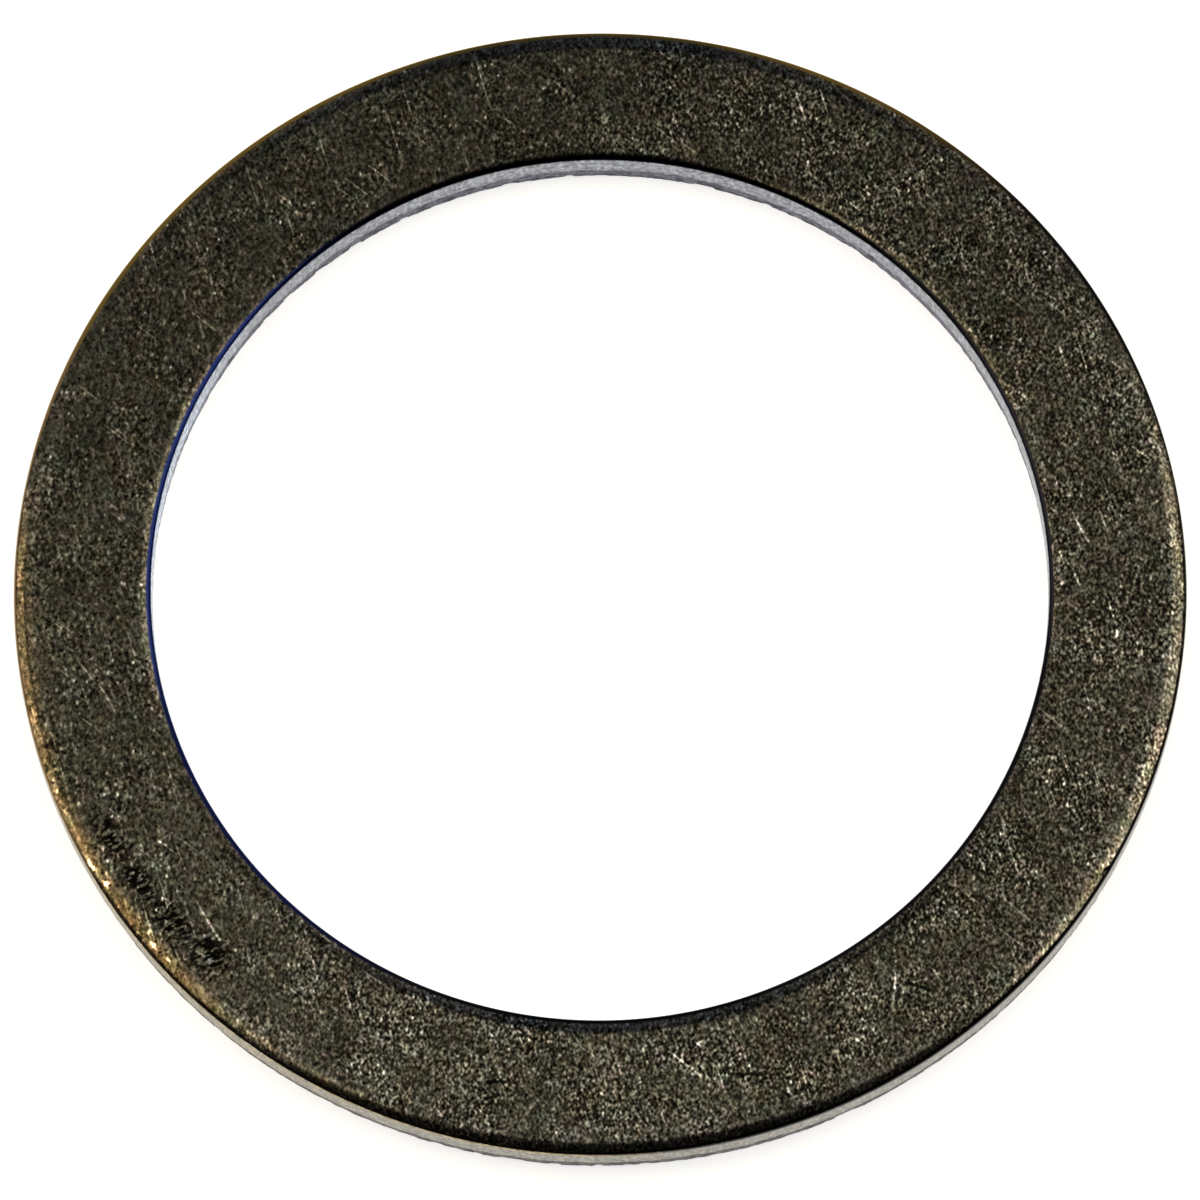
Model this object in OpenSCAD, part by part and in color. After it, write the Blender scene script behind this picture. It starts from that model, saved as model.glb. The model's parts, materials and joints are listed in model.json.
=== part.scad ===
// Drain plug gasket: one flat metal sealing ring, blanked and pierced from strip in one stroke.
// It lies flat, with its axis on Z and its bottom face at Z = 0. Punch and die drew both edges
// of the top face down into soft rollovers. Below each rollover the wall was burnished upright,
// and below that the metal tore, so the wall recedes a little towards its worn bottom edge.

/* [Ring] */
// Thread diameter of the drain plug that the ring slides over
plug_d = 22; // [8:0.5:60]
// Clearance between that thread and the bore, on the diameter
plug_gap = 0.2; // [0.1:0.05:1]
// Width of the band, from the bore to the outer edge
band_w = 3.4; // [2:0.1:12]
// Thickness of the strip
thick = 1.45; // [1:0.05:4]

/* [Rollover] */
// Width that the rollover takes of the top face, at the outer edge and at the bore
roll_w = 0.5; // [0.2:0.02:0.6]
// Drop of the rollover, from the top face to where its arc would meet the wall
roll_h = 0.12; // [0.06:0.01:0.16]
// Radius of the corner between the rollover and the wall
corner_r = 0.09; // [0.02:0.01:0.12]

/* [Sheared wall] */
// Height of the torn zone, from the bottom face to the foot of the burnished land
tear_h = 0.56; // [0.3:0.02:0.7]
// How far the torn zone has receded where it would meet the bottom face
tear_back = 0.05; // [0.02:0.01:0.12]
// Radius of the worn bottom edge
foot_r = 0.05; // [0.02:0.01:0.12]

/* [Hidden] */

$fn = 180;

// Dark grey-brown of the tumbled faces
ring_colour = [0.25, 0.24, 0.2];
// How far a cut runs on past the metal
spare = 0.5;

bore_r = (plug_d + plug_gap) / 2;
outer_r = bore_r + band_w;

// The rollover is an arc that leaves the top face level and has dropped by roll_h at the wall
roll_r = (pow(roll_w, 2) + pow(roll_h, 2)) / (2 * roll_h);
roll_centre = [-roll_w, thick - roll_r];

// The corner arc touches the rollover from inside, and the wall at the top of the land
corner_reach = roll_w - corner_r;
corner_rise = sqrt(pow(roll_r - corner_r, 2) - pow(corner_reach, 2));
corner_centre = [-corner_r, roll_centre.y + corner_rise];
corner_start = -roll_w + roll_r * corner_reach / (roll_r - corner_r);
land_top = corner_centre.y;

// The foot arc touches the torn zone and the bottom face
tear_angle = atan(tear_back / tear_h);
foot_centre = [-tear_back + foot_r * (tan(tear_angle) - 1 / cos(tear_angle)), foot_r];
foot_top = foot_centre.y - foot_r * sin(tear_angle);

// What a round of radius r takes off: the box from low to high, less the round itself
module round_waste(low, high, centre, r) {
    difference() {
        translate(low) square(high - low);
        translate(centre) circle(r = r);
    }
}

// The torn zone's waste, below the burnished land
module tear_waste() {
    overrun = tear_back * (1 + spare / tear_h);
    polygon([[0, tear_h], [spare, tear_h], [spare, -spare], [-overrun, -spare]]);
}

// All that shearing and wear took from a square edge, whose wall stands at X = 0
module edge_waste() {
    round_waste([-roll_w, thick - roll_h], [spare, thick + spare], roll_centre, roll_r);
    round_waste([corner_start, land_top], [spare, thick + spare], corner_centre, corner_r);
    tear_waste();
    round_waste([foot_centre.x, -spare], [spare, foot_top], foot_centre, foot_r);
}

// Section of the band, with the same sheared edge outside and, mirrored, at the bore
module band_section() {
    difference() {
        translate([bore_r, 0]) square([band_w, thick]);
        translate([outer_r, 0]) edge_waste();
        translate([bore_r, 0]) mirror([1, 0]) edge_waste();
    }
}

module sealing_ring() {
    color(ring_colour) rotate_extrude() band_section();
}

sealing_ring();
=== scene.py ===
"""Looks of the drain plug gasket: one blanked steel ring, tumbled dark, under soft studio light.

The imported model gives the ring's true size. The ring is spun here again from the same section, with the
wear of its sheared walls as real geometry, and finished with one procedural steel: dark tumbled faces,
smooth rollovers, a bright burnished land and a dull torn zone below it.

Lengths in the classes are millimetres and angles are degrees. They become metres and radians only where
Blender takes them.
"""

import json
import logging
import math
from dataclasses import dataclass
from enum import IntEnum
from functools import cached_property

import bmesh
import bpy
from mathutils import Matrix, Vector, noise


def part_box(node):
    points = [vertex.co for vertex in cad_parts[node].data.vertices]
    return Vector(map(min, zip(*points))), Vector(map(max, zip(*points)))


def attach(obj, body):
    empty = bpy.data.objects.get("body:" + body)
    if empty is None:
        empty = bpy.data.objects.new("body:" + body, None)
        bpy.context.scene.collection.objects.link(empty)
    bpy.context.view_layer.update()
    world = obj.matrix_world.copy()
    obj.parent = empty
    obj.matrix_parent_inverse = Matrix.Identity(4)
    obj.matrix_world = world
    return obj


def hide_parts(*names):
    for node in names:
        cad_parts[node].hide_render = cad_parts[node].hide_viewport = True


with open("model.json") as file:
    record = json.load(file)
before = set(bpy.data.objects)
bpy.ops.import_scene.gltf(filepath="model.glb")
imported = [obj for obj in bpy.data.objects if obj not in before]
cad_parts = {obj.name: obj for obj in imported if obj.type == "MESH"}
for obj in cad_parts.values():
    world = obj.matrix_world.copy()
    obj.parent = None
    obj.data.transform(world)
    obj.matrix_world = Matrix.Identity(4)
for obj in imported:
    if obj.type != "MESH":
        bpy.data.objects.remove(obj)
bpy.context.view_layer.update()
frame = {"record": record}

log = logging.getLogger("gasket")

NODE = "sealing_ring"
BODY = "root"
BAKE_MAP = "OFBake"

MM = 0.001
UP = Vector((0.0, 0.0, 1.0))
WHITE = (1.0, 1.0, 1.0)
# Points of the ring that are closer than this, in millimetres, are one
MERGE = 0.001
# How far apart in the noise two layers of a pattern are read, in millimetres
LAYER_SHIFT = 10.0
# Power of an area lamp, in watts for each square metre, at which its face is as bright as white
LAMP_POWER = 4.0

Colour = tuple[float, float, float]
Socket = bpy.types.NodeSocket
Feed = Socket | float | tuple[float, ...]


def direction(azimuth: float, elevation: float) -> Vector:
    """Gives the unit vector at an azimuth from +X towards +Y and an elevation above the floor."""
    turn, rise = math.radians(azimuth), math.radians(elevation)
    return Vector((math.cos(turn) * math.cos(rise), math.sin(turn) * math.cos(rise), math.sin(rise)))


def smooth_step(value: float, low: float, high: float) -> float:
    """Eases from 0, where the value is low, to 1, where it is high."""
    share = min(1.0, max(0.0, (value - low) / (high - low)))
    return share * share * (3.0 - 2.0 * share)


def way_round(place: Vector) -> float:
    """Gives how far round the ring a place lies, from 0 to 1, counted from +X towards +Y."""
    return math.atan2(place.y, place.x) / (2 * math.pi) % 1.0


class Stretch(IntEnum):
    """The stretches of the band's section, as the sheared ring shows them."""

    FACE = 0
    ROLLOVER = 1
    CORNER = 2
    LAND = 3
    TORN = 4
    FOOT = 5
    UNDERSIDE = 6


@dataclass
class BandSection:
    """Section of the ring's band, with the same sheared edge outside and at the bore.

    Attributes:
        bore_r: Radius of the bore at the burnished land.
        outer_r: Radius of the outer edge at the burnished land.
        thick: Thickness of the strip.
        roll_w: Width that a rollover takes of the top face.
        roll_h: Drop of a rollover, to where its arc would meet the wall.
        corner_r: Radius of the corner between rollover and wall.
        tear_h: Height of the torn zone above the bottom face.
        tear_back: How far the torn zone has receded at the bottom face.
        foot_r: Radius of the worn bottom edge.
        face_spans: How many spans the top face has from side to side.
        roll_spans: The same for a rollover.
        corner_spans: The same for a corner.
        land_spans: The same for a burnished land.
        torn_spans: The same for a torn zone.
        foot_spans: The same for a worn bottom edge.
        under_rim: Width of the narrow span on each side of the bottom face, where chips end.
    """

    bore_r: float
    outer_r: float
    thick: float
    roll_w: float = 0.5
    roll_h: float = 0.12
    corner_r: float = 0.09
    tear_h: float = 0.56
    tear_back: float = 0.05
    foot_r: float = 0.05

    face_spans: int = 6
    roll_spans: int = 9
    corner_spans: int = 4
    land_spans: int = 6
    torn_spans: int = 8
    foot_spans: int = 3
    under_rim: float = 0.12

    def __post_init__(self) -> None:
        """Works out the arcs' centres and where each one ends."""
        self.roll_r = (self.roll_w**2 + self.roll_h**2) / (2 * self.roll_h)
        reach = self.roll_w - self.corner_r
        rise = math.sqrt((self.roll_r - self.corner_r) ** 2 - reach**2)
        self.land_top = self.thick - self.roll_r + rise
        self.roll_turn = math.asin(reach / (self.roll_r - self.corner_r))
        self.corner_middle = self.land_top + self.corner_r * math.cos((self.roll_turn + math.pi / 2) / 2)
        self.tear_lean = math.atan(self.tear_back / self.tear_h)
        lean = self.tear_lean
        self.foot_in = self.tear_back + self.foot_r * (1 / math.cos(lean) - math.tan(lean))

    def draw(self, bm: bmesh.types.BMesh) -> None:
        """Draws the closed outline in the XZ plane, clockwise as seen along +Y.

        Args:
            bm: The mesh that takes the outline.
        """
        roll_z = self.thick - self.roll_r
        outer_roll = Vector((self.outer_r - self.roll_w, 0.0, roll_z))
        bore_roll = Vector((self.bore_r + self.roll_w, 0.0, roll_z))
        outer_corner = Vector((self.outer_r - self.corner_r, 0.0, self.land_top))
        bore_corner = Vector((self.bore_r + self.corner_r, 0.0, self.land_top))
        outer_foot = Vector((self.outer_r - self.foot_in, 0.0, self.foot_r))
        bore_foot = Vector((self.bore_r + self.foot_in, 0.0, self.foot_r))
        seat = self.foot_r * Vector((math.cos(self.tear_lean), 0.0, -math.sin(self.tear_lean)))
        rim = Vector((self.under_rim, 0.0, 0.0))
        drop = self.foot_r * UP
        corner_turn = math.pi / 2 - self.roll_turn
        foot_turn = math.pi / 2 - self.tear_lean

        pen = SectionPen(bm, Vector((self.bore_r + self.roll_w, 0.0, self.thick)))
        pen.line(Vector((self.outer_r - self.roll_w, 0.0, self.thick)), self.face_spans, Stretch.FACE)
        pen.arc(outer_roll, self.roll_turn, self.roll_spans, Stretch.ROLLOVER)
        pen.arc(outer_corner, corner_turn, self.corner_spans, Stretch.CORNER)
        pen.line(Vector((self.outer_r, 0.0, self.tear_h)), self.land_spans, Stretch.LAND)
        pen.line(outer_foot + seat, self.torn_spans, Stretch.TORN)
        pen.arc(outer_foot, foot_turn, self.foot_spans, Stretch.FOOT)
        for end in (outer_foot - rim - drop, bore_foot + rim - drop, bore_foot - drop):
            pen.line(end, 1, Stretch.UNDERSIDE)
        pen.arc(bore_foot, foot_turn, self.foot_spans, Stretch.FOOT)
        pen.line(Vector((self.bore_r, 0.0, self.tear_h)), self.torn_spans, Stretch.TORN)
        pen.line(Vector((self.bore_r, 0.0, self.land_top)), self.land_spans, Stretch.LAND)
        pen.arc(bore_corner, corner_turn, self.corner_spans, Stretch.CORNER)
        pen.arc(bore_roll, self.roll_turn, self.roll_spans, Stretch.ROLLOVER)
        pen.close()

    def at_bore(self, radius: float) -> bool:
        """Tells whether a distance from the axis is nearer to the bore than to the outer edge."""
        return radius < (self.bore_r + self.outer_r) / 2


class SectionPen:
    """Draws an outline stretch by stretch, and notes on each point its stretch and its way along."""

    def __init__(self, bm: bmesh.types.BMesh, start: Vector) -> None:
        """Puts the pen down.

        Args:
            bm: The mesh to draw in.
            start: The outline's first point.
        """
        self.bm = bm
        self.stretch = bm.verts.layers.int.new("stretch")
        self.girth = bm.verts.layers.float.new("girth")
        self.tip = bm.verts.new(start)

    def step(self, tip: bmesh.types.BMVert, kind: Stretch) -> None:
        """Takes a newly drawn point as the pen's tip.

        Args:
            tip: The new point.
            kind: The stretch that it belongs to.
        """
        tip[self.girth] = self.tip[self.girth] + (tip.co - self.tip.co).length
        tip[self.stretch] = kind
        self.tip = tip

    def line(self, end: Vector, spans: int, kind: Stretch) -> None:
        """Draws straight to a point.

        Args:
            end: Where the line ends.
            spans: How many edges it has.
            kind: The stretch that it belongs to.
        """
        stride = (end - self.tip.co) / spans
        for _ in range(spans):
            made = bmesh.ops.extrude_vert_indiv(self.bm, verts=[self.tip])["verts"]
            bmesh.ops.translate(self.bm, verts=made, vec=stride)
            self.step(made[0], kind)

    def arc(self, centre: Vector, turn: float, spans: int, kind: Stretch) -> None:
        """Draws an arc, clockwise as seen along +Y.

        Args:
            centre: The arc's centre.
            turn: Its angle, in radians.
            spans: How many edges it has.
            kind: The stretch that it belongs to.
        """
        for _ in range(spans):
            made = bmesh.ops.spin(
                self.bm, geom=[self.tip], cent=centre, axis=(0, 1, 0), angle=turn / spans, steps=1
            )
            self.step(made["geom_last"][0], kind)

    def close(self) -> None:
        """Joins the last point to the first."""
        bmesh.ops.remove_doubles(self.bm, verts=self.bm.verts[:], dist=MERGE)


@dataclass(frozen=True)
class Nick:
    """A small dent where something struck the ring's upper edge.

    Attributes:
        azimuth: Where it lies round the ring.
        radius: Its distance from the axis.
        size: How wide it is.
        depth: How deep it is.
    """

    azimuth: float
    radius: float
    size: float
    depth: float


@dataclass(frozen=True)
class Ripple:
    """One layer of the metal's unevenness.

    Attributes:
        rate: How often it changes over a millimetre.
        reach: How large it is at its largest.
        shift: Where in the noise it starts, so that two layers differ.
    """

    rate: float
    reach: float
    shift: tuple[float, float, float] = (0.0, 0.0, 0.0)

    def height(self, at: Vector) -> float:
        """Gives its height at a place, which is 0 in the mean."""
        return self.reach * noise.noise(at * self.rate + Vector(self.shift))


@dataclass
class ShearWear:
    """What shearing and tumbling did to the walls and edges, as moves of the spun section's points.

    Attributes:
        section: The section that the ring was spun from.
        nicks: The dents in the upper edges.
        waviness: How the top face waves.
        wander: How the foot of the land wanders up and down.
        tear_depth: How deep the torn zone's roughness goes.
        tear_rate: How often that roughness changes over a millimetre round the ring.
        tear_slant: How often it changes upwards, as a share of that.
        tear_layers: How many finer layers it has.
        tear_least: The least of it, as a share of its depth.
        tear_start: Share of the torn zone over which it sets in.
        chips: The chips along the bottom edge.
        chip_start: How high that layer must be for a chip.
        chip_top: Height at which the chips end.
        bite: How far the bottom edge rises in a chip.
        bite_in: How far the wall recedes in it.
        outer_rub: How far from the outer edge the rubbed metal starts to fade and is gone.
        bore_rub: The same at the bore.
        edge_w: How far from an edge the edge's own share fades to 0.
    """

    section: BandSection
    nicks: tuple[Nick, ...] = (Nick(327.5, 14.49, 0.15, 0.06),)
    waviness: Ripple = Ripple(0.35, 0.002)
    wander: tuple[Ripple, ...] = (
        Ripple(0.3, 0.11),
        Ripple(1.7, 0.066, (7.0, 3.0, 1.0)),
        Ripple(6.0, 0.0385),
    )
    tear_depth: float = 0.015
    tear_rate: float = 4.0
    tear_slant: float = 0.5
    tear_layers: int = 3
    tear_least: float = 0.25
    tear_start: float = 0.12
    chips: Ripple = Ripple(2.3, 2.2, (0.0, 0.0, 9.0))
    chip_start: float = 0.484
    chip_top: float = 0.192
    bite: float = 0.12
    bite_in: float = 0.084
    outer_rub: tuple[float, float] = (0.1, 0.6)
    bore_rub: tuple[float, float] = (0.1, 0.33)
    edge_w: float = 0.2

    def wear_wall(self, place: Vector, kind: Stretch) -> Vector:
        """Moves a point of a wall: the foot of the land wanders, and the torn zone is rough.

        Args:
            place: The point as spun.
            kind: The stretch that it belongs to.

        Returns:
            The point as worn.
        """
        s = self.section
        flat = Vector((place.x, place.y, 0.0))
        outward = flat.normalized() * (-1.0 if s.at_bore(flat.length) else 1.0)
        tear = s.tear_h + sum(ripple.height(flat) for ripple in self.wander)
        if kind == Stretch.LAND:
            share = (place.z - s.tear_h) / (s.land_top - s.tear_h)
            return flat + UP * (tear + share * (s.land_top - tear))
        low = s.foot_r
        share = min(1.0, max(0.0, (place.z - low) / (s.tear_h - low)))
        height = place.z if place.z < low else low + share * (tear - low)
        spot = Vector((place.x, place.y, height * self.tear_slant)) * self.tear_rate
        rough = self.tear_least + noise.turbulence(spot, self.tear_layers, False)
        sink = self.tear_depth * smooth_step(1.0 - share, 0.0, self.tear_start) * rough
        chip = max(0.0, self.chips.height(flat) - self.chip_start)
        chip *= 1.0 - smooth_step(height, 0.0, self.chip_top)
        return flat - outward * (sink + chip * self.bite_in) + UP * (height + chip * self.bite)

    def wear_top(self, place: Vector) -> Vector:
        """Moves a point of the top face or an upper edge: the face waves a little, and nicks dent it.

        Args:
            place: The point as spun.

        Returns:
            The point as worn.
        """
        drop = self.waviness.reach + self.waviness.height(place)
        for nick in self.nicks:
            at = direction(nick.azimuth, 0.0) * nick.radius
            apart = math.hypot(place.x - at.x, place.y - at.y)
            drop += nick.depth * (1.0 - smooth_step(apart, 0.0, nick.size))
        return place - UP * drop

    def apply(self, bm: bmesh.types.BMesh) -> None:
        """Wears the ring, and marks each point for the finish.

        Args:
            bm: The spun ring, in millimetres.
        """
        stretch = bm.verts.layers.int["stretch"]
        names = ("rolled", "edge", "wall", "torn", "bore")
        rolled, edge, wall, torn, bore = (bm.verts.layers.float.new(name) for name in names)
        s = self.section
        for vert in bm.verts:
            kind = Stretch(vert[stretch])
            radius = math.hypot(vert.co.x, vert.co.y)
            at_bore = s.at_bore(radius)
            off_edge = radius - s.bore_r if at_bore else s.outer_r - radius
            above = vert.co.z > s.corner_middle - MERGE
            rub = self.bore_rub if at_bore else self.outer_rub
            vert[rolled] = 1.0 - smooth_step(off_edge, *rub) if above else 0.0
            vert[edge] = max(0.0, 1.0 - off_edge / self.edge_w) if above else 0.0
            vert[wall] = 0.0 if above or kind == Stretch.UNDERSIDE else 1.0
            vert[torn] = 1.0 if kind in (Stretch.TORN, Stretch.FOOT) else 0.0
            vert[bore] = 1.0 if at_bore else 0.0
            if kind in (Stretch.LAND, Stretch.TORN, Stretch.FOOT):
                vert.co = self.wear_wall(vert.co, kind)
            elif kind != Stretch.UNDERSIDE:
                vert.co = self.wear_top(vert.co)


@dataclass
class GasketRing:
    """The sealing ring: its mesh, and its place in the frame.

    Attributes:
        section: The band's section.
        wear: What shearing and tumbling did to it.
        lengths: How many equal lengths the ring is put together from.
        length_spans: How many spans each length has.
        map_rows: How many lengths the band's skin is cut into for its map.
        map_gap: Gap round each of them, as a share of the map or of a row.
        seam_w: Width on the map of the last span, which ends where the first begins.
        flat_below: Faces whose normal points further down than this are shaded flat.
    """

    section: BandSection
    wear: ShearWear
    lengths: int = 56
    length_spans: int = 25
    map_rows: int = 3
    map_gap: float = 0.004
    seam_w: float = 0.034
    flat_below: float = -0.9999

    def build(self) -> bpy.types.Object:
        """Spins the worn ring and sets it in the frame.

        Returns:
            The finished piece.
        """
        bm = bmesh.new()
        self.section.draw(bm)
        self.spin(bm)
        self.wear.apply(bm)
        bmesh.ops.recalc_face_normals(bm, faces=bm.faces[:])
        self.lay_out(bm)
        bmesh.ops.scale(bm, vec=(MM, MM, MM), verts=bm.verts[:])
        for face in bm.faces:
            face.smooth = face.normal.z > self.flat_below
        mesh = bpy.data.meshes.new("gasket_ring")
        bm.to_mesh(mesh)
        bm.free()
        piece = bpy.data.objects.new("gasket_ring", mesh)
        bpy.context.scene.collection.objects.link(piece)
        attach(piece, BODY)
        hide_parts(NODE)
        return piece

    def spin(self, bm: bmesh.types.BMesh) -> None:
        """Spins the section into one length of the ring, and copies that round the axis.

        Args:
            bm: The mesh that holds the section.
        """
        turn = 2 * math.pi / self.lengths
        outline = bm.verts[:] + bm.edges[:]
        bmesh.ops.spin(bm, geom=outline, axis=UP, angle=turn, steps=self.length_spans)
        length = bm.verts[:] + bm.edges[:] + bm.faces[:]
        copies = self.lengths - 1
        bmesh.ops.spin(bm, geom=length, axis=UP, angle=turn * copies, steps=copies, use_duplicate=True)
        bmesh.ops.remove_doubles(bm, verts=bm.verts[:], dist=MERGE)

    def lay_out(self, bm: bmesh.types.BMesh) -> None:
        """Unrolls the skin onto a square map, as equal lengths of the band one above another.

        Args:
            bm: The worn ring.
        """
        girth = bm.verts.layers.float["girth"]
        layer = bm.loops.layers.uv.new(BAKE_MAP)
        whole = max(vert[girth] for vert in bm.verts) + self.seam_w
        gap, inside = self.map_gap, 1 - 2 * self.map_gap
        for face in bm.faces:
            turn = way_round(face.calc_center_median())
            row = min(self.map_rows - 1, int(turn * self.map_rows))
            reached = [loop.vert[girth] for loop in face.loops]
            seam = max(reached) - min(reached) > whole / 2
            for loop in face.loops:
                at = way_round(loop.vert.co)
                at += round(turn - at)
                along = at * self.map_rows - row
                around = loop.vert[girth] / whole
                around = 1.0 if seam and around < 0.5 else around
                loop[layer].uv = (gap + inside * along, (row + gap + inside * around) / self.map_rows)


class Graph:
    """Adds and links the shader nodes of one node tree.

    Attributes:
        tree: The tree to work in.
        space: Blender's name for the coordinates that patterns and zones are drawn by.
        unit: Length of their unit.
    """

    def __init__(self, tree: bpy.types.NodeTree, space: str = "Object", unit: float = MM) -> None:
        """Takes a tree to work in, and empties it."""
        self.tree, self.space, self.unit = tree, space, unit
        tree.nodes.clear()

    @cached_property
    def place(self) -> Socket:
        """Reads the place that patterns and zones are drawn by, on the ring in millimetres."""
        source = self.node("ShaderNodeTexCoord").outputs[self.space]
        return self.local(source, Vector(), 0.0, Vector.Fill(3, self.unit))

    def node(self, kind: str, **settings: object) -> bpy.types.Node:
        """Adds a node.

        Args:
            kind: Blender's name for the node's type.
            settings: Properties of the node to set.

        Returns:
            The new node.
        """
        made = self.tree.nodes.new(kind)
        for name, value in settings.items():
            setattr(made, name, value)
        return made

    def feed(self, socket: Socket, value: Feed) -> None:
        """Links a socket to another, or sets its value.

        Args:
            socket: The socket that takes the value.
            value: The other socket, or the value itself.
        """
        if isinstance(value, bpy.types.NodeSocket):
            self.tree.links.new(value, socket)
        else:
            socket.default_value = value

    def maths(self, operation: str, a: Feed, b: Feed = 0.0) -> Socket:
        """Adds a Math node.

        Args:
            operation: Blender's name for the operation.
            a: First number.
            b: Second number.

        Returns:
            The result's socket.
        """
        made = self.node("ShaderNodeMath", operation=operation)
        self.feed(made.inputs[0], a)
        self.feed(made.inputs[1], b)
        return made.outputs[0]

    def ease(self, value: Feed, low: Feed, high: Feed, start: Feed = 0.0, end: Feed = 1.0) -> Socket:
        """Adds a smooth Map Range node.

        Args:
            value: The number to map.
            low: Where the result is start.
            high: Where the result is end.
            start: The result at low.
            end: The result at high.

        Returns:
            The result's socket.
        """
        made = self.node("ShaderNodeMapRange", interpolation_type="SMOOTHSTEP")
        for index, number in enumerate((value, low, high, start, end)):
            self.feed(made.inputs[index], number)
        return made.outputs[0]

    def mix(self, share: Feed, a: Feed, b: Feed) -> Socket:
        """Blends two numbers.

        Args:
            share: How much of the second is taken, from 0 to 1.
            a: First number.
            b: Second number.

        Returns:
            The result's socket.
        """
        made = self.node("ShaderNodeMix", data_type="FLOAT")
        for index, number in ((0, share), (2, a), (3, b)):
            self.feed(made.inputs[index], number)
        return made.outputs[0]

    def mix_colour(self, share: Feed, a: Feed, b: Feed) -> Socket:
        """Blends two colours.

        Args:
            share: How much of the second is taken, from 0 to 1.
            a: First colour.
            b: Second colour.

        Returns:
            The result's socket.
        """
        made = self.node("ShaderNodeMix", data_type="RGBA")
        self.feed(made.inputs[0], share)
        for index, colour in ((6, a), (7, b)):
            self.feed(made.inputs[index], (*colour, 1.0) if isinstance(colour, tuple) else colour)
        return made.outputs[2]

    def scaled(self, vector: Feed, by: Feed) -> Socket:
        """Multiplies a vector or a colour.

        Args:
            vector: The vector or colour.
            by: What it is multiplied by, part by part or as one number.

        Returns:
            The product's socket.
        """
        made = self.node("ShaderNodeVectorMath", operation="MULTIPLY")
        self.feed(made.inputs[0], vector)
        self.feed(made.inputs[1], by)
        return made.outputs[0]

    def along(self, way: Feed) -> Socket:
        """Finds how far the place lies along a direction.

        Args:
            way: The direction.

        Returns:
            The length's socket.
        """
        made = self.node("ShaderNodeVectorMath", operation="DOT_PRODUCT")
        self.feed(made.inputs[0], self.place)
        self.feed(made.inputs[1], way)
        return made.outputs["Value"]

    def attribute(self, name: str) -> Socket:
        """Reads one of the piece's own attributes."""
        return self.node("ShaderNodeAttribute", attribute_name=name).outputs["Fac"]

    def noise(self, place: Feed, size: float, detail: float = 0.0) -> bpy.types.Node:
        """Adds a noise texture.

        Args:
            place: Where it is read, in millimetres.
            size: Length over which it changes, in millimetres.
            detail: How many finer layers it has.

        Returns:
            The texture's node, whose number and colour are about 0.5 in the middle.
        """
        made = self.node("ShaderNodeTexNoise", noise_dimensions="3D", normalize=True)
        self.feed(made.inputs["Vector"], place)
        made.inputs["Scale"].default_value = 1.0 / size
        made.inputs["Detail"].default_value = detail
        return made

    def grain(self, place: Feed, size: float, detail: float = 0.0) -> Socket:
        """Adds a noise texture and gives its number."""
        return self.noise(place, size, detail).outputs["Fac"]

    def local(self, place: Feed, middle: Vector, angle: float, size: Vector) -> Socket:
        """Gives a place as seen from a small frame of its own.

        Args:
            place: The place.
            middle: Where the frame lies.
            angle: Direction of its X axis, in degrees from +X.
            size: Length of its unit along each axis.

        Returns:
            The place in that frame.
        """
        made = self.node("ShaderNodeMapping", vector_type="TEXTURE")
        self.feed(made.inputs["Vector"], place)
        made.inputs["Location"].default_value = middle
        made.inputs["Rotation"].default_value = (0.0, 0.0, math.radians(angle))
        made.inputs["Scale"].default_value = size
        return made.outputs[0]

    def strained(self, shift: float, angle: float, stretch: float) -> Socket:
        """Moves the place along each axis, and strains it so that a pattern is longer along the angle."""
        return self.local(self.place, Vector.Fill(3, shift), angle, Vector((stretch, 1.0, 1.0)))


@dataclass(frozen=True)
class Zone:
    """A part of the ring or of the room, which sets in gradually along one direction.

    Attributes:
        way: The direction.
        start: How far along it the zone begins.
        full: How far along it the zone is whole.
    """

    way: tuple[float, float, float]
    start: float
    full: float

    def share(self, g: Graph) -> Socket:
        """Finds how far the place is inside the zone, from 0 to 1."""
        return g.ease(g.along(self.way), self.start, self.full)


@dataclass(frozen=True)
class Mottle:
    """One layer of light and dark on the sheared walls.

    Attributes:
        size: Length over which it changes.
        detail: How many finer layers it has.
        upright: How much faster it changes upwards.
        steps: Where in the pattern it starts to change, and where it has changed.
        values: What it gives before and after.
    """

    size: float
    detail: float
    upright: float
    steps: tuple[float, float]
    values: tuple[float, float] = (0.0, 1.0)

    def draw(self, g: Graph, lift: Feed = 0.0) -> Socket:
        """Draws the layer, with the lift added to its pattern before the steps are taken."""
        pattern = g.grain(g.scaled(g.place, (1.0, 1.0, self.upright)), self.size, self.detail)
        return g.ease(g.maths("ADD", pattern, lift), *self.steps, *self.values)


@dataclass(frozen=True)
class Grain:
    """One layer of the soft pattern on the tumbled faces.

    Attributes:
        size: Length over which it changes.
        weight: How much it brightens and darkens, as a power of e for one whole step of the pattern.
        dulled: What is left of that on the duller side of the ring.
        stretch: How many times longer it is in one direction.
        angle: That direction, from +X.
    """

    size: float
    weight: float
    dulled: float = 1.0
    stretch: float = 1.0
    angle: float = 90.0

    def pattern(self, g: Graph, shift: float) -> Socket:
        """Reads the layer's pattern, moved by the shift along each axis. Its middle is about 0.5."""
        return g.grain(g.strained(shift, self.angle, self.stretch), self.size)

    def draw(self, g: Graph, shift: float, dull: Feed) -> Socket:
        """Draws the layer as a power of e, where dull is 1 on the duller side and 0 on the other."""
        step = g.maths("SUBTRACT", self.pattern(g, shift), 0.5)
        return g.maths("MULTIPLY", step, g.mix(dull, self.weight, self.weight * self.dulled))


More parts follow.
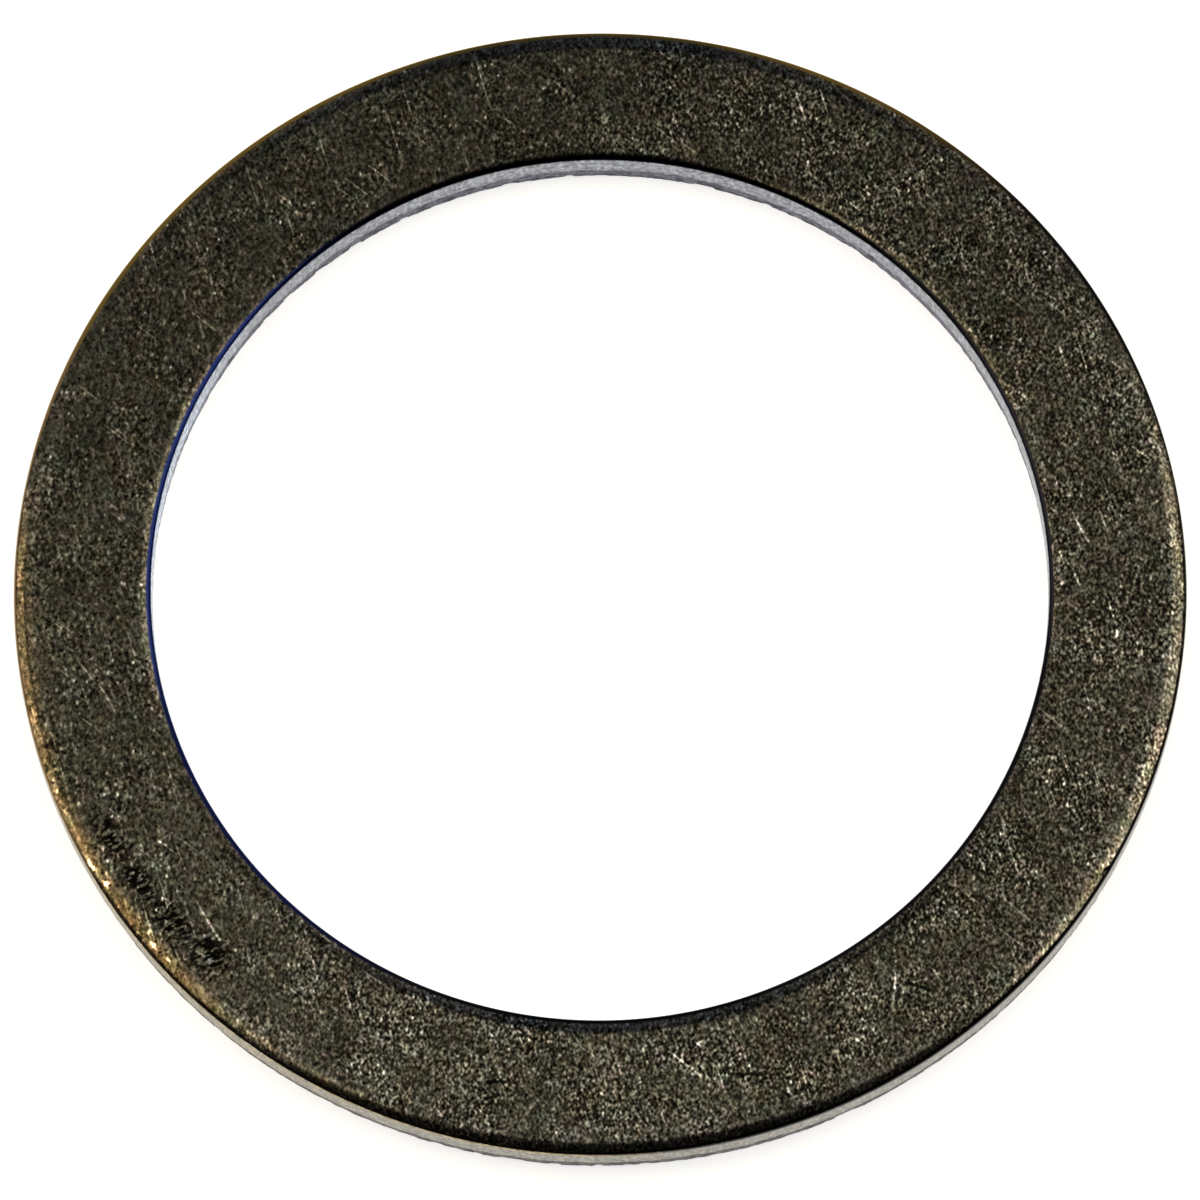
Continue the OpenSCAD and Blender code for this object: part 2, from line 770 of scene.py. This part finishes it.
@dataclass(frozen=True)
class Flecks:
    """One layer of small round marks on the tumbled faces, each of its own strength.

    Attributes:
        spacing: About how far apart they lie.
        reach: Radius of a mark, as a share of the spacing.
        weight: How much the strongest one brightens or darkens, as a power of e.
        rarity: How few of them are strong.
        stretch: How many times longer they are in one direction.
        angle: That direction, from +X.
    """

    spacing: float
    reach: float
    weight: float
    rarity: float
    stretch: float = 1.0
    angle: float = 90.0

    def draw(self, g: Graph, shift: float) -> Socket:
        """Draws the layer.

        Args:
            g: The material's graph.
            shift: How far the marks are moved along each axis.

        Returns:
            The marks' power of e, 0 between them.
        """
        cells = g.node("ShaderNodeTexVoronoi", voronoi_dimensions="2D", feature="F1")
        g.feed(cells.inputs["Vector"], g.strained(shift, self.angle, self.stretch))
        cells.inputs["Scale"].default_value = 1.0 / self.spacing
        own = g.node("ShaderNodeSeparateColor")
        g.feed(own.inputs[0], cells.outputs["Color"])
        strength = g.maths("POWER", own.outputs[0], self.rarity)
        body = g.ease(cells.outputs["Distance"], self.reach, 0.0)
        return g.maths("MULTIPLY", g.maths("MULTIPLY", body, strength), self.weight)


@dataclass(frozen=True)
class Hairlines:
    """One layer of fine light scratches that all run about one way.

    Attributes:
        width: Length over which they change from side to side.
        stretch: How many times longer they are along their direction.
        angle: That direction, from +X.
        start: How high the pattern must be for a scratch, from 0 to 1.
        weight: How much they brighten, as a power of e.
    """

    width: float
    stretch: float
    angle: float
    start: float
    weight: float

    def draw(self, g: Graph, shift: float) -> Socket:
        """Draws the layer as a power of e, 0 between the scratches, moved by the shift along each axis."""
        pattern = g.grain(g.strained(shift, self.angle, self.stretch), self.width)
        return g.ease(pattern, self.start, 1.0, 0.0, self.weight)


@dataclass(frozen=True)
class Mark:
    """One scratch, scuff, bright spot or painted glint on the upper side of the ring.

    Attributes:
        x: Place of its middle along X.
        y: Place of its middle along Y.
        length: How long it is.
        width: How wide it is.
        angle: Direction in which it is long, from +X.
        weight: How much it brightens or darkens, as a power of e.
    """

    x: float
    y: float
    length: float
    width: float
    angle: float
    weight: float

    def draw(self, g: Graph, level: float) -> Socket:
        """Draws the mark as a soft ellipse.

        Args:
            g: The material's graph.
            level: Height of the upper side.

        Returns:
            The mark's weight there, 0 outside it.
        """
        size = Vector((self.length / 2, self.width / 2, level / 2))
        ball = g.node("ShaderNodeTexGradient", gradient_type="SPHERICAL")
        g.feed(ball.inputs["Vector"], g.local(g.place, Vector((self.x, self.y, level)), self.angle, size))
        return g.ease(ball.outputs["Fac"], 0.0, 1.0, 0.0, self.weight)


@dataclass(frozen=True)
class Speckle:
    """The fine light and dark that tumbling left all over the faces.

    Attributes:
        grains: Its soft layers.
        dull_side: Where those are duller.
        flecks: Its round marks.
        hairlines: Its fine scratches.
        pitting: How much deeper its dark marks are than its light ones.
        crispness: How strong it is in its softest and its crispest areas.
        crisp_size: Length over which those areas change.
        crisp_steps: Where in that pattern the softest areas end and the crispest start.
    """

    grains: tuple[Grain, ...] = (
        Grain(0.064, 6.0, 0.6, 1.25, 84.0),
        Grain(0.07, 2.8, 0.5, 2.2, 118.0),
        Grain(0.07, 2.4, 0.5, 2.2, 55.0),
        Grain(0.12, 1.8, 1.6, 1.4, 100.0),
        Grain(0.4, 1.0),
        Grain(1.8, 0.6),
    )
    dull_side: Zone = Zone((-1.0, 0.35, 0.0), -1.0, 9.0)
    flecks: tuple[Flecks, ...] = (
        Flecks(0.19, 0.3, 3.2, 3.0, 1.5, 84.0),
        Flecks(0.15, 0.34, -3.0, 2.0, 1.2, 20.0),
    )
    hairlines: tuple[Hairlines, ...] = (
        Hairlines(0.07, 20.0, -75.0, 0.66, 2.8),
        Hairlines(0.07, 14.0, -40.0, 0.68, 2.6),
    )
    pitting: float = 0.07
    crispness: tuple[float, float] = (0.76, 1.16)
    crisp_size: float = 1.3
    crisp_steps: tuple[float, float] = (0.35, 0.65)

    def draw(self, g: Graph) -> Socket:
        """Adds up the layers.

        Args:
            g: The material's graph.

        Returns:
            The speckle's power of e, about 0 in the middle.
        """
        total: Feed = 0.0
        dull = self.dull_side.share(g)
        for index, layer in enumerate(self.grains):
            total = g.maths("ADD", total, layer.draw(g, LAYER_SHIFT * index, dull))
        for index, layer in enumerate(self.flecks):
            total = g.maths("ADD", total, layer.draw(g, LAYER_SHIFT * index))
        for index, layer in enumerate(self.hairlines):
            total = g.maths("ADD", total, layer.draw(g, -LAYER_SHIFT * index))
        depth = g.maths("SUBTRACT", 1.0, g.maths("MULTIPLY", total, self.pitting))
        crisp = g.ease(g.grain(g.place, self.crisp_size), *self.crisp_steps, *self.crispness)
        return g.maths("MULTIPLY", g.maths("MULTIPLY", total, depth), crisp)


@dataclass(frozen=True)
class Scuffs:
    """The scuffed chain beside the outer rollover: dark strokes on slightly brighter metal.

    Attributes:
        places: Where the face is scuffed, as patches with a share of 1 in their middle.
        strokes: The pattern of the strokes, with how much they darken.
        stroke_steps: Where in that pattern a stroke starts, and where it is whole.
        between: How much the metal between the strokes brightens, as a power of e.
    """

    places: tuple[Mark, ...] = (
        Mark(-12.2, -6.1, 2.2, 0.9, -58.0, 1.0),
        Mark(-11.5, -7.3, 2.2, 0.9, -56.0, 1.0),
        Mark(-10.7, -8.3, 2.2, 1.1, -51.0, 1.0),
        Mark(-9.8, -9.2, 2.2, 1.5, -46.0, 1.0),
    )
    strokes: Grain = Grain(0.08, -4.0, 1.0, 1.9, 25.0)
    stroke_steps: tuple[float, float] = (0.44, 0.54)
    between: float = 0.2

    def draw(self, g: Graph, level: float) -> Socket:
        """Draws the scuffs.

        Args:
            g: The material's graph.
            level: Height of the upper side.

        Returns:
            The scuffs' power of e, 0 outside them.
        """
        zone: Feed = 0.0
        for place in self.places:
            zone = g.maths("MAXIMUM", zone, place.draw(g, level))
        pattern = self.strokes.pattern(g, LAYER_SHIFT / 2)
        stroke = g.ease(pattern, *self.stroke_steps, self.between, self.strokes.weight)
        return g.maths("MULTIPLY", zone, stroke)


@dataclass(frozen=True)
class TumbledFace:
    """Finish of the tumbled faces, and of the rubbed rollovers beside them.

    Attributes:
        level: Height of the upper side.
        radius: Radius of the ring.
        face: Colour of the faces, in the middle of its range.
        rollover: Colour of the rollovers.
        straw_reflection: Painted warm reflection: tint of the outer rollover on the -X side, on top of
            that.
        straw_lit_side: Where that is.
        face_roughness: How rough the faces are.
        rollover_roughness: How rough the rollovers are.
        speckle: The fine light and dark all over.
        calm: How much of it the rubbed rollovers have lost.
        scratches: The light scratches that show one by one.
        spots: The small bright spots that do.
        painted_glints: Painted highlights: bright spots of the outer rollover where it blazes in the light.
        cuts: The dark scratches.
        patches: Broad areas that are a little darker or lighter.
        scuffs: The scuffed chain.
        paling: How fast each colour channel grows with the speckle, so that light marks are less coloured.
        painted_far_shade: Painted shade: how much darker the faces grow towards +Y, the far side, as a
            power of e for one ring radius.
        stain: How far faint patches of red, green and blue tint the faces, for each of the three.
        stain_size: Length over which those patches change.
    """

    level: float
    radius: float
    face: Colour = (0.0285, 0.026, 0.0176)
    rollover: Colour = (0.085, 0.078, 0.060)
    # painted warm reflection: a straw tint on the outer rollover's -X side
    straw_reflection: Colour = (1.0, 0.82, 0.56)
    straw_lit_side: Zone = Zone((-0.94, -0.34, 0.0), 11.9, 13.3)
    face_roughness: float = 0.18
    rollover_roughness: float = 0.16
    speckle: Speckle = Speckle()
    calm: float = 0.3
    scratches: tuple[Mark, ...] = (
        Mark(-12.7, -1.9, 0.9, 0.12, -52.0, 2.4),
        Mark(-12.2, -2.6, 1.5, 0.12, -63.0, 1.8),
        Mark(-9.8, -8.4, 2.4, 0.12, -61.0, 2.4),
        Mark(11.4, 2.2, 0.6, 0.12, -70.0, 2.6),
        Mark(11.9, 1.1, 1.4, 0.12, -67.0, 2.6),
        Mark(11.8, -0.3, 0.9, 0.12, -69.0, 2.2),
        Mark(12.7, -1.7, 0.5, 0.14, -89.0, 2.8),
        Mark(6.9, -10.4, 1.8, 0.12, -95.0, 2.2),
        Mark(7.9, -10.2, 0.5, 0.14, -56.0, 2.4),
        Mark(0.6, -12.7, 0.5, 0.14, -76.0, 2.6),
        Mark(-14.0, -1.0, 0.8, 0.2, -84.0, 1.8),
    )
    spots: tuple[Mark, ...] = (
        Mark(-6.4, -12.1, 0.2, 0.2, 0.0, 3.2),
        Mark(-11.0, -6.3, 0.2, 0.2, 0.0, 3.2),
        Mark(2.1, -11.8, 0.35, 0.2, 20.0, 2.8),
        Mark(13.9, 3.6, 0.2, 0.2, 0.0, 2.8),
        Mark(13.3, -2.2, 0.2, 0.2, 0.0, 2.9),
    )
    # painted highlights: glints of the outer rollover, painted as bright spots in its colour
    painted_glints: tuple[Mark, ...] = (
        Mark(-12.7, -6.8, 0.95, 0.2, -58.0, 2.9),
        Mark(-12.3, -7.3, 0.4, 0.25, -44.0, 2.9),
        Mark(-11.2, -8.9, 0.5, 0.15, -52.0, 2.6),
        Mark(-10.8, -9.3, 0.4, 0.15, -39.0, 2.6),
    )
    cuts: tuple[Mark, ...] = (
        Mark(-2.9, -12.6, 1.0, 0.14, -2.0, -3.2),
        Mark(7.4, -10.5, 1.0, 0.14, -20.0, -3.5),
        Mark(3.2, -12.6, 1.3, 0.14, -2.0, -2.9),
    )
    patches: tuple[Mark, ...] = (
        Mark(-11.1, 6.4, 20.0, 20.0, 0.0, -0.18),
        Mark(7.5, -10.4, 11.0, 11.0, 0.0, -0.22),
        Mark(-9.1, -9.1, 6.0, 6.0, 0.0, 0.12),
        Mark(0.0, -12.8, 6.0, 6.0, 0.0, 0.1),
    )
    scuffs: Scuffs = Scuffs()
    paling: Colour = (1.0, 1.01, 1.08)
    painted_far_shade: float = 0.3
    stain: Colour = (0.5, 0.22, 0.4)
    stain_size: float = 0.4

    def colour(self, g: Graph) -> Socket:
        """Colours the faces and rollovers.

        Args:
            g: The material's graph.

        Returns:
            The colour.
        """
        rolled = g.attribute("rolled")
        worn = g.maths("MULTIPLY", self.speckle.draw(g), g.mix(rolled, 1.0, 1.0 - self.calm))
        for mark in (*self.scratches, *self.spots, *self.painted_glints, *self.cuts, *self.patches):
            worn = g.maths("ADD", worn, mark.draw(g, self.level))
        worn = g.maths("ADD", worn, self.scuffs.draw(g, self.level))
        # painted warm reflection: the rollover colour takes the straw tint on the -X side
        rubbed = g.scaled(self.rollover, g.mix_colour(self.straw_lit_side.share(g), WHITE, self.straw_reflection))
        return g.scaled(g.mix_colour(rolled, self.face, rubbed), self.shade(g, worn))

    def roughness(self, g: Graph) -> Socket:
        """Gives the roughness of the faces and rollovers."""
        return g.mix(g.attribute("rolled"), self.face_roughness, self.rollover_roughness)

    def shade(self, g: Graph, worn: Socket) -> Socket:
        """Turns the marks into a gain for each colour channel, stains it and darkens the far side with
        painted shade.

        Args:
            g: The material's graph.
            worn: The speckle and marks added up, as a power of e.

        Returns:
            The gains, as a colour.
        """
        # painted shade: the faces grow darker towards +Y, the far side
        power = g.maths("ADD", worn, g.along((0.0, -self.painted_far_shade / self.radius, 0.0)))
        stains = g.node("ShaderNodeSeparateColor")
        g.feed(stains.inputs[0], g.noise(g.place, self.stain_size, 1.0).outputs["Color"])
        gains = g.node("ShaderNodeCombineXYZ")
        for socket, pace, patch, reach in zip(gains.inputs, self.paling, stains.outputs, self.stain):
            tint = g.maths("MULTIPLY", g.maths("SUBTRACT", patch, 0.5), reach)
            g.feed(socket, g.maths("POWER", math.e, g.maths("ADD", g.maths("MULTIPLY", power, pace), tint)))
        return gains.outputs[0]


@dataclass(frozen=True)
class PaintedEdgeLines:
    """The thin lines at the upper edges, where rollover and wall meet: painted dark, golden, straw and navy
    reflections.

    Attributes:
        near: Colour of the outer line on the -Y side, a painted dark reflection.
        far: The same on the +Y side, a painted golden reflection.
        straw_reflection: The same on the -X side, a painted warm reflection.
        bore: Colour of the line round the bore, a painted dark reflection.
        navy: The same on the -X side, a painted navy reflection.
        golden_side: Where the outer line has the far side's colour.
        straw_side: Where it has the -X side's.
        navy_side: Where the line round the bore has that.
        far_side: Where the outer line is as wide as the bore's.
        near_right: Where it is a little wider, and runs on down the wall's upper edge.
        widening: How far it is on its way to that width there.
        thin: How near an edge a thin line starts and is whole, from 0 to 1 at the edge itself.
        wide: The same for a wide one.
    """

    # painted reflections: dark in front and round the bore, golden behind, straw and navy on the -X side
    near: Colour = (0.006, 0.006, 0.007)
    far: Colour = (0.19, 0.125, 0.028)
    straw_reflection: Colour = (0.26, 0.175, 0.08)
    bore: Colour = (0.006, 0.006, 0.009)
    navy: Colour = (0.006, 0.012, 0.07)
    golden_side: Zone = Zone((-0.4, 0.92, 0.0), 4.0, 11.0)
    straw_side: Zone = Zone((-1.0, 0.0, 0.0), 12.2, 13.8)
    navy_side: Zone = Zone((-1.0, 0.0, 0.0), 4.0, 9.0)
    far_side: Zone = Zone((0.0, 1.0, 0.0), 2.0, 8.0)
    near_right: Zone = Zone((0.6, -0.8, 0.0), 10.5, 13.0)
    widening: float = 0.4
    thin: tuple[float, float] = (0.68, 0.84)
    wide: tuple[float, float] = (0.15, 0.55)

    def draw(self, g: Graph, top: Socket) -> Socket:
        """Draws the painted reflection lines on the upper side.

        Args:
            g: The material's graph.
            top: The upper side's colour.

        Returns:
            The colour with the lines.
        """
        at_bore = g.attribute("bore")
        # painted reflections along the upper edges, coloured by side
        outer = g.mix_colour(self.golden_side.share(g), self.near, self.far)
        outer = g.mix_colour(self.straw_side.share(g), outer, self.straw_reflection)
        bore = g.mix_colour(self.navy_side.share(g), self.bore, self.navy)
        width = g.maths("MULTIPLY", self.near_right.share(g), self.widening)
        width = g.maths("MAXIMUM", width, g.maths("MAXIMUM", self.far_side.share(g), at_bore))
        start, whole = (g.mix(width, thin, wide) for thin, wide in zip(self.thin, self.wide))
        drawn = g.ease(g.attribute("edge"), start, whole)
        return g.mix_colour(drawn, top, g.mix_colour(at_bore, outer, bore))


@dataclass(frozen=True)
class ShearedWall:
    """Finish of the sheared walls: a bright burnished land above a dull torn zone.

    Attributes:
        outer: Colour of the outer wall's land.
        warm_reflection: The same on the -X side, warmer as a painted warm reflection.
        gold_reflection: Colour of that land's upper edge, a painted golden reflection.
        bore: Colour of the land in the bore, its bluish tint a painted bluish reflection.
        pale: The same on the -X side, paler and bluer as a painted reflection.
        torn: Tint of the torn zone beside the land.
        pit: Tint of the dark pits in the torn zone, which are closest along its foot, where they are also
            painted contact shade.
        land_roughness: How rough the land is.
        torn_roughness: How rough the torn zone is.
        warm_side: Where the outer land is warmer, by the painted warm reflection.
        pale_side: Where the land in the bore is paler, by the painted pale reflection.
        trim: The outer land's upper edge, which takes the painted golden reflection and is dark at the near
            right.
        low: The foot of the walls.
        streaks: The upright streaks.
        mottling: The finer light and dark.
        pits: The pits in the torn zone.
        pits_and_foot_shade: How much more of them there is along the foot: real pits and painted contact
            shade.
    """

    outer: Colour = (0.225, 0.208, 0.172)
    warm_reflection: Colour = (0.24, 0.193, 0.095)
    gold_reflection: Colour = (0.3, 0.24, 0.12)
    bore: Colour = (0.225, 0.24, 0.275)
    pale: Colour = (0.4, 0.47, 0.58)
    torn: Colour = (0.54, 0.5, 0.58)
    pit: Colour = (0.22, 0.18, 0.25)
    land_roughness: float = 0.3
    torn_roughness: float = 0.55
    warm_side: Zone = Zone((-1.0, 0.0, 0.0), 3.0, 11.0)
    pale_side: Zone = Zone((-1.0, 0.0, 0.0), 8.0, 10.8)
    trim: Zone = Zone((0.0, 0.0, 1.0), 1.13, 1.25)
    low: Zone = Zone((0.0, 0.0, -1.0), -0.35, -0.1)
    streaks: Mottle = Mottle(0.08, 2.0, 0.25, (0.3, 0.7), (0.7, 1.25))
    mottling: Mottle = Mottle(0.13, 2.0, 1.0, (0.32, 0.68), (0.55, 1.5))
    pits: Mottle = Mottle(0.3, 3.0, 1.3, (0.53, 0.64))
    pits_and_foot_shade: float = 0.09

    def colour(self, g: Graph, lines: PaintedEdgeLines) -> Socket:
        """Colours the walls.

        Args:
            g: The material's graph.
            lines: The painted reflection lines above the walls, of which the outer one runs on down at the
                near right.

        Returns:
            The colour.
        """
        torn = g.attribute("torn")
        lit = g.maths("MULTIPLY", self.streaks.draw(g), self.mottling.draw(g))
        # real pits, and painted contact shade where the walls meet the floor: more dark pits along the foot
        low = g.maths("MULTIPLY", self.low.share(g), self.pits_and_foot_shade)
        pitted = g.maths("MULTIPLY", self.pits.draw(g, low), torn)
        # painted reflections: the outer land warmer on the -X side, its upper edge golden and dark at the
        # near right, the bore paler and bluer on the -X side
        outer = g.mix_colour(self.warm_side.share(g), self.outer, self.warm_reflection)
        trim = g.mix_colour(lines.near_right.share(g), self.gold_reflection, lines.near)
        outer = g.mix_colour(self.trim.share(g), outer, trim)
        bore = g.mix_colour(self.pale_side.share(g), self.bore, self.pale)
        land = g.mix_colour(g.attribute("bore"), outer, bore)
        tinted = g.scaled(land, g.mix_colour(torn, WHITE, self.torn))
        return g.scaled(g.scaled(tinted, g.mix_colour(pitted, WHITE, self.pit)), lit)

    def roughness(self, g: Graph) -> Socket:
        """Gives the walls' roughness."""
        return g.mix(g.attribute("torn"), self.land_roughness, self.torn_roughness)


@dataclass(frozen=True)
class TumbledSteel:
    """Finish of the whole ring, as one steel.

    Attributes:
        top: Finish of the faces and rollovers.
        lines: The painted reflection lines along their edges.
        side: Finish of the walls.
        metallic: How far the finish is metal.
    """

    top: TumbledFace
    lines: PaintedEdgeLines = PaintedEdgeLines()
    side: ShearedWall = ShearedWall()
    metallic: float = 0.98

    def material(self) -> bpy.types.Material:
        """Builds the finish as one material.

        Returns:
            The material.
        """
        made = bpy.data.materials.new("tumbled_steel")
        made.use_nodes = True
        g = Graph(made.node_tree)
        shader = g.node("ShaderNodeBsdfPrincipled")
        wall = g.attribute("wall")
        top = self.lines.draw(g, self.top.colour(g))
        side = self.side.colour(g, self.lines)
        g.feed(shader.inputs["Base Color"], g.mix_colour(wall, top, side))
        g.feed(shader.inputs["Roughness"], g.mix(wall, self.top.roughness(g), self.side.roughness(g)))
        shader.inputs["Metallic"].default_value = self.metallic
        g.feed(g.node("ShaderNodeOutputMaterial").inputs["Surface"], shader.outputs[0])
        return made


@dataclass(frozen=True)
class Softbox:
    """One rectangular area lamp, aimed at the ring.

    Attributes:
        name: What the lamp is called.
        azimuth: Its direction round the ring.
        elevation: Its height above the floor, as an angle.
        distance: Its distance from the ring's centre.
        width: Its level side.
        height: Its other side.
        radiance: How bright its face is, where 1 is white.
        tint: Its colour.
    """

    name: str
    azimuth: float
    elevation: float
    distance: float
    width: float
    height: float
    radiance: float
    tint: Colour = WHITE

    def hang(self) -> bpy.types.Object:
        """Makes the lamp and aims it.

        Returns:
            The lamp.
        """
        lamp = bpy.data.lights.new(self.name, "AREA")
        lamp.shape = "RECTANGLE"
        lamp.size, lamp.size_y = self.width * MM, self.height * MM
        lamp.energy = LAMP_POWER * self.radiance * lamp.size * lamp.size_y
        lamp.color = self.tint
        made = bpy.data.objects.new(self.name, lamp)
        towards = direction(self.azimuth, self.elevation)
        made.location = towards * self.distance * MM
        made.rotation_euler = towards.to_track_quat("Z", "Y").to_euler()
        made.visible_camera = False
        bpy.context.scene.collection.objects.link(made)
        return made


@dataclass(frozen=True)
class Studio:
    """The pale floor, the lamps and the world.

    Attributes:
        lamps: The softboxes.
        floor_r: Radius of the floor.
        floor_sides: How many sides its outline has.
        rim_h: Height of the low backdrop that it curves up into.
        floor_colour: How pale the floor is.
        glow: What the floor adds for the camera and for reflections, so that it reads as white.
        front: Light of the room on the camera's side.
        front_low: Light of the room there, low down.
        back: Light of the room straight behind.
        back_sides: Light of the room behind, to the left and right.
        left: Light of the room low on the left.
        below: Light below the floor, for views from there.
        behind: Which directions lie behind.
        aside: How far to the side a direction leaves the middle, and has left it.
        low: Which directions lie low.
        to_left: Which directions lie on the left.
        drop: How far the floor lies below the ring, to keep the two apart.
    """

    lamps: tuple[Softbox, ...] = (
        Softbox("overhead", 90.0, 73.8, 300.0, 280.0, 87.0, 1.15, (1.0, 0.97, 0.9)),
        Softbox("overhead_near", 270.0, 88.7, 300.0, 280.0, 98.0, 0.65, (1.0, 0.97, 0.9)),
        Softbox("left", 168.0, 45.0, 300.0, 150.0, 115.0, 2.4, (1.0, 0.9, 0.74)),
        Softbox("low_left", 150.0, 68.0, 300.0, 100.0, 100.0, 0.18, (1.0, 0.92, 0.8)),
        Softbox("near_left", 191.0, 62.5, 300.0, 110.0, 140.0, 1.15, (1.0, 0.87, 0.6)),
        Softbox("right", 9.0, 53.0, 300.0, 200.0, 140.0, 2.2, (1.0, 0.92, 0.72)),
    )
    floor_r: float = 1500.0
    floor_sides: int = 96
    rim_h: float = 150.0
    floor_colour: Colour = (0.8, 0.8, 0.8)
    glow: float = 0.7
    front: Colour = (0.008, 0.008, 0.009)
    front_low: Colour = (0.6, 0.58, 0.53)
    back: Colour = (0.19, 0.22, 0.3)
    back_sides: Colour = (0.6, 0.56, 0.5)
    left: Colour = (0.6, 0.55, 0.5)
    below: Colour = WHITE
    behind: Zone = Zone((0.0, 1.0, 0.0), 0.25, 0.5)
    aside: tuple[float, float] = (0.1, 0.3)
    low: Zone = Zone((0.0, 0.0, -1.0), -0.43, -0.3)
    to_left: Zone = Zone((-1.0, 0.0, 0.0), 0.7, 0.85)
    drop: float = 0.01

    def build(self) -> None:
        """Lays the floor, hangs the lamps and sets the world."""
        self.lay_floor()
        for lamp in self.lamps:
            lamp.hang()
        bpy.context.scene.world = self.room()

    def room(self) -> bpy.types.World:
        """Makes the room round the table: dark in front, dim behind, and plain light below the floor.

        Returns:
            The world.
        """
        world = bpy.data.worlds.new("room")
        world.use_nodes = True
        world.cycles.sampling_method = "NONE"
        g = Graph(world.node_tree, "Generated", 1.0)
        aside = g.ease(g.maths("ABSOLUTE", g.along((1.0, 0.0, 0.0))), *self.aside)
        above = g.maths("GREATER_THAN", g.along((0.0, 0.0, 1.0)), 0.0)
        front = g.mix_colour(self.low.share(g), self.front, self.front_low)
        back = g.mix_colour(aside, self.back, self.back_sides)
        shade = g.mix_colour(self.behind.share(g), front, back)
        shade = g.mix_colour(self.to_left.share(g), shade, self.left)
        light = g.node("ShaderNodeBackground")
        g.feed(light.inputs["Color"], g.mix_colour(above, self.below, shade))
        g.feed(g.node("ShaderNodeOutputWorld").inputs["Surface"], light.outputs[0])
        return world

    def lay_floor(self) -> bpy.types.Object:
        """Makes the floor, a wide dish whose rim is the backdrop in level views.

        Returns:
            The floor.
        """
        bm = bmesh.new()
        bmesh.ops.create_circle(bm, cap_ends=True, segments=self.floor_sides, radius=self.floor_r * MM)
        edges = [edge for edge in bm.edges if edge.is_boundary]
        made = bmesh.ops.extrude_edge_only(bm, edges=edges)["geom"]
        rim = [part for part in made if isinstance(part, bmesh.types.BMVert)]
        bmesh.ops.translate(bm, vec=self.rim_h * MM * UP, verts=rim)
        bmesh.ops.translate(bm, vec=-self.drop * MM * UP, verts=bm.verts[:])
        mesh = bpy.data.meshes.new("floor")
        bm.to_mesh(mesh)
        bm.free()
        floor = bpy.data.objects.new("floor", mesh)
        floor.data.materials.append(self.floor_material())
        bpy.context.scene.collection.objects.link(floor)
        return floor

    def floor_material(self) -> bpy.types.Material:
        """Builds the floor's finish: pale, white to the camera and in reflections, and open from below.

        Returns:
            The material.
        """
        made = bpy.data.materials.new("pale_floor")
        made.use_nodes = True
        made.cycles.emission_sampling = "NONE"
        g = Graph(made.node_tree)
        path = g.node("ShaderNodeLightPath")
        seen = g.maths("MAXIMUM", path.outputs["Is Camera Ray"], path.outputs["Is Glossy Ray"])
        seen = g.maths("MAXIMUM", seen, path.outputs["Is Transmission Ray"])
        glow = g.node("ShaderNodeEmission")
        g.feed(glow.inputs["Strength"], g.maths("MULTIPLY", seen, self.glow))
        paint = g.node("ShaderNodeBsdfDiffuse")
        paint.inputs["Color"].default_value = (*self.floor_colour, 1.0)
        both = g.node("ShaderNodeAddShader")
        g.feed(both.inputs[0], glow.outputs[0])
        g.feed(both.inputs[1], paint.outputs[0])
        sides = g.node("ShaderNodeMixShader")
        g.feed(sides.inputs[0], g.node("ShaderNodeNewGeometry").outputs["Backfacing"])
        g.feed(sides.inputs[1], both.outputs[0])
        g.feed(sides.inputs[2], g.node("ShaderNodeBsdfTransparent").outputs[0])
        g.feed(g.node("ShaderNodeOutputMaterial").inputs["Surface"], sides.outputs[0])
        return made


@dataclass(frozen=True)
class PhotoCamera:
    """The camera, at the photograph's viewing angle.

    Attributes:
        azimuth: Its direction round the ring.
        elevation: Its height above the floor, as an angle.
        distance: Its distance from the point that it looks at.
        lens: Its focal length.
        sensor: Width of its sensor.
        nearest: How near to it things are still seen.
        roll: How far the picture is turned anticlockwise.
        aim: The point that it looks at.
    """

    azimuth: float = -90.0
    elevation: float = 73.17
    distance: float = 246.5
    lens: float = 297.6
    sensor: float = 36.0
    nearest: float = 10.0
    roll: float = 1.74
    aim: tuple[float, float, float] = (-0.012, 0.0, 0.0)

    def place(self) -> bpy.types.Object:
        """Makes the scene's camera.

        Returns:
            The camera.
        """
        data = bpy.data.cameras.new("camera")
        data.sensor_width = self.sensor
        data.lens = self.lens
        data.clip_start = self.nearest * MM
        made = bpy.data.objects.new("camera", data)
        back = direction(self.azimuth, self.elevation)
        turn = back.to_track_quat("Z", "Y").to_matrix() @ Matrix.Rotation(math.radians(-self.roll), 3, "Z")
        at = (Vector(self.aim) + back * self.distance) * MM
        made.matrix_world = Matrix.Translation(at) @ turn.to_4x4()
        bpy.context.scene.collection.objects.link(made)
        bpy.context.scene.camera = made
        return made


def main() -> None:
    """Builds the ring, its finish, the studio and the camera, and reports the ring and the lamps."""
    logging.basicConfig(level=logging.INFO, format="%(name)s: %(message)s")
    low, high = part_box(NODE)
    bore = next(m for m in frame["record"]["mounts"] if m["name"] == "bore")
    section = BandSection(bore_r=bore["dims"]["r_mm"], outer_r=high.x / MM, thick=(high.z - low.z) / MM)
    piece = GasketRing(section, ShearWear(section)).build()
    face = TumbledFace(level=section.thick, radius=section.outer_r)
    piece.data.materials.append(TumbledSteel(face).material())
    widths = 2 * section.bore_r, 2 * section.outer_r
    log.info("ring: %d faces, bore %.2f mm, outside %.2f mm", len(piece.data.polygons), *widths)

    studio = Studio()
    studio.build()
    log.info("studio: %d lamps", len(studio.lamps))
    PhotoCamera().place()
    bpy.context.scene.view_settings.view_transform = "Standard"


if __name__ == "__main__":
    main()
